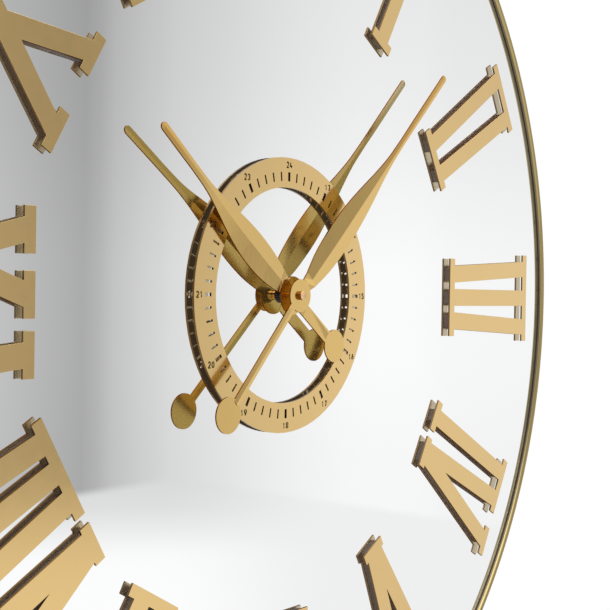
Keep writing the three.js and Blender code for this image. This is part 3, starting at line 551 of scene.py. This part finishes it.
# turns the profile, pairs of radius and depth from the wall, round a line through the centre
def spun(profile, steps, centre=(0, 0), closed=True):
    shape = bmesh.new()
    x, z = centre
    corners = [shape.verts.new((x + radius, -depth, z)) for radius, depth in profile]
    following = corners[1:] + corners[:1] if closed else corners[1:]
    lines = [shape.edges.new(pair) for pair in zip(corners, following)]
    bmesh.ops.spin(shape, geom=corners + lines, cent=(x, 0, z), axis=(0, 1, 0), angle=2 * pi, steps=steps,
                   use_merge=True, use_duplicate=False)
    bmesh.ops.remove_doubles(shape, verts=shape.verts, dist=mergeGap)
    return shape


def profileOf(pairs):
    return [(radius * mm, depth * mm) for radius, depth in pairs]


# the band goes back along the board, and the bead stands on the glass; its lower inner side is painted
# darker as painted shade, and the step of the gap under it near black as a painted shadow; slack is the
# margin in telling these faces from the others
rimValues = {"outer": 300, "band": 1.2, "back": 8, "arris": 0.3, "beadWidth": 4.4, "beadHeight": 3.4,
             "beadSteps": 18, "shadeTop": 1.85, "gap": 0.55, "lip": 0.35, "slope": (0.15, 0.15), "slack": 0.1,
             "steps": 360}


def makeRim(values):
    face = mirrorDepth
    outer, back, arris, crown = values["outer"], values["back"], values["arris"], values["beadWidth"] / 2
    centre, top = outer - crown, face + values["beadHeight"] - crown
    turns = [pi * step / values["beadSteps"] for step in range(values["beadSteps"] + 1)]
    bead = [(centre + crown * cos(turn), top + crown * sin(turn)) for turn in turns]
    lip, gap, slack = outer - values["beadWidth"] + values["lip"], values["gap"], values["slack"]
    inwards, upwards = values["slope"]
    profile = [(outer - values["band"], back), (outer - arris, back), (outer, back + arris), *bead,
               (lip - inwards, face + gap + upwards), (lip, face + gap), (lip, face),
               (outer - values["band"], face)]
    shape = spun(profileOf(profile), values["steps"])
    for side in shape.faces:
        middle = side.calc_center_median()
        height = -middle.y / mm - face
        # low faces on the bead's inner side get the painted shade, those by the gap the near-black painted
        # shadow
        if Vector((middle.x, middle.z)).length / mm < centre and -slack < height < values["shadeTop"]:
            side.material_index = 2 if height < gap - slack else 1
    addPiece("rimBand", shape, ["rim"], sharpAngle=35, others=["rimInnerShade", "rimGapShadow"])


mirrorValues = {"outer": 298.5, "bore": 4.3, "back": 27, "arris": 0.4, "steps": 360}


def makeMirror(values):
    outer, bore, back, arris = (values[key] for key in ("outer", "bore", "back", "arris"))
    face = mirrorDepth
    profile = [(bore, back), (outer - arris, back), (outer, back + arris), (outer, face - arris),
               (outer - arris, face), (bore, face)]
    addPiece("mirrorDisc", spun(profileOf(profile), values["steps"]), ["mirror_glass"])


makeRim(rimValues)
makeMirror(mirrorValues)
print("rim and mirror made")

plateValues = {"edge": 0.1, "ringEdge": 0.08}                # widths of the broken edges
numerals = ["i", "ii", "iii", "iv", "v", "vi", "vii", "viii", "ix", "x", "xi", "xii"]
for numeral in numerals:
    shape = markSides(copyOf(f"numeral_{numeral}"), 1, 2)
    plate = addPiece(f"plate_{numeral}", shape, [f"numeral_{numeral}"], others=["cutEdge", "dullBack"])
    softenEdges(plate, plateValues["edge"])

padValues = {"inset": 0.8, "height": 1.8, "end": 265.5, "foot": 0.3}


# the foam under a numeral stays back from the sides of its strokes and stops before the outer bar
def makePad(numeral, hour, values):
    shape = copyOf(f"pad_{numeral}")
    turn = Matrix.Rotation(radians(30 * hour), 3, "Y")
    bmesh.ops.rotate(shape, matrix=turn.inverted(), verts=shape.verts)
    bmesh.ops.bisect_plane(shape, geom=[*shape.verts, *shape.edges, *shape.faces],
                           plane_co=(0, 0, values["end"] * mm), plane_no=(0, 0, 1), clear_outer=True)
    away = [face for face in shape.faces if face.normal.y > -facingFront]
    bmesh.ops.delete(shape, geom=away, context="FACES")
    strip = bmesh.ops.inset_region(shape, faces=shape.faces, thickness=values["inset"] * mm,
                                   use_boundary=True, use_even_offset=True)["faces"]
    bmesh.ops.delete(shape, geom=strip, context="FACES")
    foot = min(corner.co.z for corner in shape.verts) + values["foot"] * mm
    feet = [corner for corner in shape.verts if corner.co.z < foot]
    bmesh.ops.translate(shape, vec=(0, 0, -values["inset"] * mm), verts=feet)
    deeper = bmesh.ops.extrude_face_region(shape, geom=list(shape.faces))["geom"]
    moved = [item for item in deeper if isinstance(item, bmesh.types.BMVert)]
    bmesh.ops.translate(shape, vec=(0, values["height"] * mm, 0), verts=moved)
    bmesh.ops.rotate(shape, matrix=turn, verts=shape.verts)
    addPiece(f"foamPad_{numeral}", shape, [f"pad_{numeral}"])


for hour, numeral in enumerate(numerals, 1):
    makePad(numeral, hour, padValues)

shape = markSides(copyOf("hour_ring"), 1, 2)
ring = addPiece("ringPlate", shape, ["hour_ring"], others=["slotEdge", "ringBack"])
softenEdges(ring, plateValues["ringEdge"], segments=1)
print("plates made")

handValues = {"edge": 0.12, "ridge": 7.0}                    # the ridge is sharp from 7 degrees
# the hands' sides and backs take darker finishes that are painted shade and painted reflection, the backs
# with a painted glow
for hand in ("minute_hand", "hour_hand"):
    name = hand.split("_")[0] + "Blade"
    shape = markSides(copyOf(hand), 1, 2)
    blade = addPiece(name, shape, [hand], sharpAngle=handValues["ridge"], others=["handEdgeShade", "handBackShade"])
    softenEdges(blade, handValues["edge"])
print("hands made")

# shoulder: in from the side, below the top; dish: radius, below the top
capValues = {"radius": 2.25, "base": 42.6, "height": 2.1, "chamfer": 0.3, "bore": 1.85, "floor": 43.95,
             "foot": 0.1, "shoulder": (0.08, 0.12), "dish": [(1.125, 0.048), (0, 0.12)], "steps": 48}


def makeCap(values):
    top = values["base"] + values["height"]
    radius, chamfer, base, foot = (values[key] for key in ("radius", "chamfer", "base", "foot"))
    inwards, below = values["shoulder"]
    profile = [(0, values["floor"]), (values["bore"], values["floor"]), (values["bore"], base),
               (radius - foot, base), (radius, base + foot), (radius, top - chamfer),
               (radius - inwards, top - below), (radius - chamfer, top)]
    profile += [(reach, top - depth) for reach, depth in values["dish"]]
    shape = spun(profileOf(profile), values["steps"])
    # faces below the chamfer take the side's painted shade
    for side in shape.faces:
        side.material_index = int(-side.calc_center_median().y / mm < top - chamfer)
    addPiece("capPin", shape, ["minute_cap"], others=["pinSideShade"])


tubeValues = {"radius": 4.0, "root": 3.72, "bore": 2.6, "flange": 6.0, "flangeDepth": 0.5, "inside": 18.8,
              "start": 27.5, "end": 33.7, "pitch": 0.75, "crestHalf": 0.08, "rootHalf": 0.05, "taper": 0.25,
              "steps": 64}


def makeTube(values):
    radius, root, bore, pitch = (values[key] for key in ("radius", "root", "bore", "pitch"))
    crest, groove = values["crestHalf"], values["rootHalf"]
    inside, end = values["inside"], values["end"]
    back = inside - values["flangeDepth"]
    profile = [(bore, back), (values["flange"], back), (values["flange"], inside), (radius, inside)]
    depth = values["start"]
    while depth + pitch < end:
        middle = depth + pitch / 2
        profile += [(radius, depth + crest), (root, middle - groove), (root, middle + groove),
                    (radius, depth + pitch - crest)]
        depth += pitch
    profile += [(radius - values["taper"], end), (bore, end)]
    addPiece("threadedTube", spun(profileOf(profile), values["steps"]), ["shaft_tube"])


makeCap(capValues)
makeTube(tubeValues)

# a pan head with a cross recess; dome and brim: in from the side, from the head's top or its underside
screwValues = {"radius": 3.5, "top": 4.8, "under": 6.8, "opening": 2.1, "shank": 1.7, "point": 19.5,
               "pointLength": 1.8, "dome": [(0.9, 0.12), (0.35, 0.45), (0.06, 0.95)], "brim": (0.1, 0.25),
               "crossHalf": 1.5, "crossWidth": 0.36, "crossDepth": 1.3, "crossTaper": 0.7, "edge": 0.06,
               "steps": 32}


def makeScrew(side, values):
    node = f"hanger_screw_{side}"
    low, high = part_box(node)
    x, z = (low[0] + high[0]) / 2, (low[2] + high[2]) / 2
    top, under, radius, shank, point = (values[key] for key in ("top", "under", "radius", "shank", "point"))
    inwards, above = values["brim"]
    profile = [(values["opening"], top), *[(radius - reach, top + depth) for reach, depth in values["dome"]],
               (radius, under - above), (radius - inwards, under), (shank, under),
               (shank, point - values["pointLength"]), (0, point)]
    shape = spun(profileOf(profile), values["steps"], (x, z), closed=False)
    opening = [edge for edge in shape.edges if edge.is_boundary]
    half, width = values["crossHalf"], values["crossWidth"]
    arm = [(width, half), (width, width), (half, width), (half, -width), (width, -width), (width, -half)]
    cross = arm + [(-a, -b) for a, b in arm]
    cross = [shape.verts.new((x + a * mm, -top * mm, z + b * mm)) for a, b in cross]
    slot = [shape.edges.new(pair) for pair in zip(cross, cross[1:] + cross[:1])]
    bmesh.ops.bridge_loops(shape, edges=opening + slot)
    deeper = bmesh.ops.extrude_edge_only(shape, edges=slot)["geom"]
    sunk = [item for item in deeper if isinstance(item, bmesh.types.BMVert)]
    bmesh.ops.translate(shape, vec=(0, -values["crossDepth"] * mm, 0), verts=sunk)
    taper = (values["crossTaper"], 1, values["crossTaper"])
    bmesh.ops.scale(shape, vec=taper, verts=sunk, space=Matrix.Translation((-x, 0, -z)))
    bmesh.ops.contextual_create(shape, geom=[e for e in shape.edges if e.is_boundary])
    screw = addPiece(f"panScrew_{side}", shape, [node], sharpAngle=40)
    softenEdges(screw, values["edge"], angle=50, segments=1)


makeScrew("left", screwValues)
makeScrew("right", screwValues)

knobAxis = (-7.02, 18.92)                 # x and z
knobValues = {"valley": 4.55, "peak": 4.9, "ridges": 36, "back": 1.0, "front": 3.4}


def makeKnobGrip(values):
    shape = bmesh.new()
    count, peak = 2 * values["ridges"], values["peak"]
    circle = bmesh.ops.create_circle(shape, segments=count, radius=peak * mm, cap_ends=True)
    ring = sorted(circle["verts"], key=lambda corner: corner.co.xy.angle_signed(Vector((1, 0))))
    bmesh.ops.scale(shape, vec=(values["valley"] / peak,) * 3, verts=ring[::2])
    bmesh.ops.rotate(shape, matrix=Matrix.Rotation(pi / 2, 3, "X"), verts=shape.verts)
    x, z = knobAxis
    bmesh.ops.translate(shape, vec=(x * mm, -values["back"] * mm, z * mm), verts=shape.verts)
    rise = bmesh.ops.extrude_face_region(shape, geom=list(shape.faces))["geom"]
    moved = [item for item in rise if isinstance(item, bmesh.types.BMVert)]
    bmesh.ops.translate(shape, vec=(0, -(values["front"] - values["back"]) * mm, 0), verts=moved)
    addPiece("knobGrip", shape, ["setting_knob"], replace=False)


makeKnobGrip(knobValues)

cellLevel, cellDepth = -19.1, 11.4        # the cell's axis: above the clock's centre, from the wall
batteryValues = {
    "radius": 7.1, "half": 24.6, "bandFrom": 12.0, "steps": 64,
    "seam": (0.05, 0.04),                 # half its width, its depth
    "bareRadius": 6.4,                    # metal inside it, sleeve outside
    # radius, in from the end
    "minusFace": [(0, 0.3), (4.6, 0.3), (4.9, 0), (6.2, 0), (6.5, 0.3)],
    "plusFace": [(6.2, 0.3), (6.0, 0.5), (3.2, 0.5), (2.85, 0.2)],
    # in from the side, in from the end
    "minusFold": [(0.25, 0.3), (0, 0.55)],
    "plusFold": [(0, 0.7), (0.25, 0.4)],
    "nub": 2.7, "nubEnd": 25.8, "nubEdge": 0.2,
}


def makeBattery(values):
    radius, half, band = values["radius"], values["half"], values["bandFrom"]
    nub, end, edge = values["nub"], values["nubEnd"], values["nubEdge"]
    width, deep = values["seam"]
    profile = [(reach, inset - half) for reach, inset in values["minusFace"]]
    profile += [(radius - inwards, inset - half) for inwards, inset in values["minusFold"]]
    profile += [(radius, band - width), (radius - deep, band), (radius, band + width)]
    profile += [(radius - inwards, half - inset) for inwards, inset in values["plusFold"]]
    profile += [(reach, half - inset) for reach, inset in values["plusFace"]]
    profile += [(nub, half), (nub, end - edge), (nub - edge, end), (0, end)]
    shape = spun(profileOf(profile), values["steps"])
    for side in shape.faces:
        middle = side.calc_center_median()
        along, away = -middle.y / mm, Vector((middle.x, middle.z)).length / mm
        if away < values["bareRadius"]:
            side.material_index = 2
        elif along > band:
            side.material_index = 1
    place = Matrix.Translation((0, -cellDepth * mm, cellLevel * mm))
    bmesh.ops.transform(shape, matrix=place @ Matrix.Rotation(pi / 2, 4, "Z"), verts=shape.verts)
    addPiece("dryCell", shape, ["battery"], sharpAngle=40, others=["batteryBand", "terminal"])


makeBattery(batteryValues)

springValues = {"radius": 3.6, "wire": 0.22, "wireSides": 8, "from": -24.75, "to": -26.3, "turns": 3,
                "steps": 84}


def makeSpring(values):
    shape = bmesh.new()
    section = bmesh.ops.create_circle(shape, segments=values["wireSides"], radius=values["wire"] * mm,
                                      cap_ends=True)["verts"]
    bmesh.ops.rotate(shape, matrix=Matrix.Rotation(pi / 2, 3, "X"), verts=section)
    start = (values["from"] * mm, -cellDepth * mm, (cellLevel + values["radius"]) * mm)
    bmesh.ops.translate(shape, vec=start, verts=section)
    pitch = (values["to"] - values["from"]) * mm / values["steps"]
    bmesh.ops.spin(shape, geom=list(shape.faces), cent=(0, -cellDepth * mm, cellLevel * mm), axis=(1, 0, 0),
                   dvec=(pitch, 0, 0), angle=2 * pi * values["turns"], steps=values["steps"],
                   use_merge=False, use_duplicate=False)
    bmesh.ops.remove_doubles(shape, verts=shape.verts, dist=mergeGap)
    addPiece("minusSpring", shape, ["contact_minus"], sharpAngle=60, replace=False)


makeSpring(springValues)

# crest: where the round of each turn starts and ends, as shares of the pitch
coilValues = {"place": (23.1, 9.0), "from": -4.0, "to": 18.0, "flange": 3.3, "flangeWidth": 1.0, "bore": 1.5,
              "root": 2.66, "crown": 2.86, "crest": (0.3, 0.7), "turns": 44, "slack": 0.01, "steps": 40}


def makeCoil(values):
    bore, root, crown, flange = (values[key] for key in ("bore", "root", "crown", "flange"))
    low, high = values["from"] + values["flangeWidth"], values["to"] - values["flangeWidth"]
    pitch = (high - low) / values["turns"]
    profile = [(bore, values["from"]), (flange, values["from"]), (flange, low)]
    for turn in range(values["turns"]):
        start = low + turn * pitch
        profile += [(root, start), *[(crown, start + share * pitch) for share in values["crest"]]]
    profile += [(root, high), (flange, high), (flange, values["to"]), (bore, values["to"])]
    shape = spun(profileOf(profile), values["steps"])
    for side in shape.faces:
        middle = side.calc_center_median()
        along, away = -middle.y / mm, Vector((middle.x, middle.z)).length / mm
        side.material_index = int(along < low or along > high or away > crown + values["slack"])
    x, depth = values["place"]
    place = Matrix.Translation((x * mm, -depth * mm, 0)) @ Matrix.Rotation(-pi / 2, 4, "X")
    bmesh.ops.transform(shape, matrix=place, verts=shape.verts)
    addPiece("woundCoil", shape, ["coil"], sharpAngle=70, others=["mould"])


makeCoil(coilValues)

# ribs, lugs and pin marks of the moulded cover: from x, to x, from z, to z, depth
coverValues = {
    "blocks": [(-25, -14, 24.6, 25.6, 3.3), (14, 25, 24.6, 25.6, 3.3), (2, 24, -9.2, -8.2, 3.3),
               (-24, -12, -9.2, -8.2, 3.3), (26.2, 27.6, 4, 12, 3.0), (-27.6, -26.2, 4, 12, 3.0),
               (4.5, 5.3, -4, 14, 3.4), (22, 22.8, -4, 14, 3.4)],
    "marks": [(-22, 20), (22, 20), (-22, -5), (13.6, 5)],
    "markRadius": 1.7,
    "markHeight": 0.4,
    "markProud": 0.15,                    # from the cover's face to the middle of a mark
    "markSides": 24,
    "collar": (5.4, 6.2, 3.1),            # inner and outer radius, depth
    "collarEdge": 0.2,
    "collarSteps": 48,
    "face": 4.1,
    "edge": 0.12,
}


def makeCoverDetail(values):
    shape = bmesh.new()
    face = values["face"]
    for left, right, low, high, top in values["blocks"]:
        size = ((right - left) * mm, (face - top) * mm, (high - low) * mm)
        place = Matrix.Translation(((left + right) / 2 * mm, -(face + top) / 2 * mm, (low + high) / 2 * mm))
        bmesh.ops.create_cube(shape, size=1.0, matrix=place @ Matrix.Diagonal((*size, 1)))
    for x, z in values["marks"]:
        middle = Matrix.Translation((x * mm, -(face - values["markProud"]) * mm, z * mm))
        bmesh.ops.create_cone(shape, cap_ends=True, segments=values["markSides"],
                              radius1=values["markRadius"] * mm, radius2=values["markRadius"] * mm,
                              depth=values["markHeight"] * mm,
                              matrix=middle @ Matrix.Rotation(pi / 2, 4, "X"))
    inner, outer, top = values["collar"]
    edge = values["collarEdge"]
    profile = [(inner, face), (inner, top + edge), (inner + edge, top), (outer - edge, top),
               (outer, top + edge), (outer, face)]
    collar = spun(profileOf(profile), values["collarSteps"], [place * mm for place in knobAxis])
    joined = bpy.data.meshes.new("collar")
    collar.to_mesh(joined)
    collar.free()
    shape.from_mesh(joined)
    bpy.data.meshes.remove(joined)
    softenEdges(addPiece("coverRelief", shape, ["rear_cover"], replace=False), values["edge"])


makeCoverDetail(coverValues)
print("back pieces made")

# nodes that keep their shape and get broken edges: width, segments
dressed = {
    "hour_wheel": (0.06, 2), "minute_arbor": (0.06, 2), "washer": (0.1, 1),
    "shaft_nut": (0.25, 2), "hanger": (0.2, 2), "bumper_left": (1.0, 3), "bumper_right": (1.0, 3),
    "movement_case": (0.35, 2), "rear_cover": (0.25, 2), "contact_plus": (0.1, 1), "contact_minus": (0.1, 1),
    "setting_knob": (0.15, 2), "circuit_board": (0.05, 1), "stator": (0.08, 1),
}
for nodeName, (width, segments) in dressed.items():
    softenEdges(addPiece(f"dressed_{nodeName}", copyOf(nodeName), [nodeName]), width, segments=segments)
print("carried pieces dressed:", len(dressed))
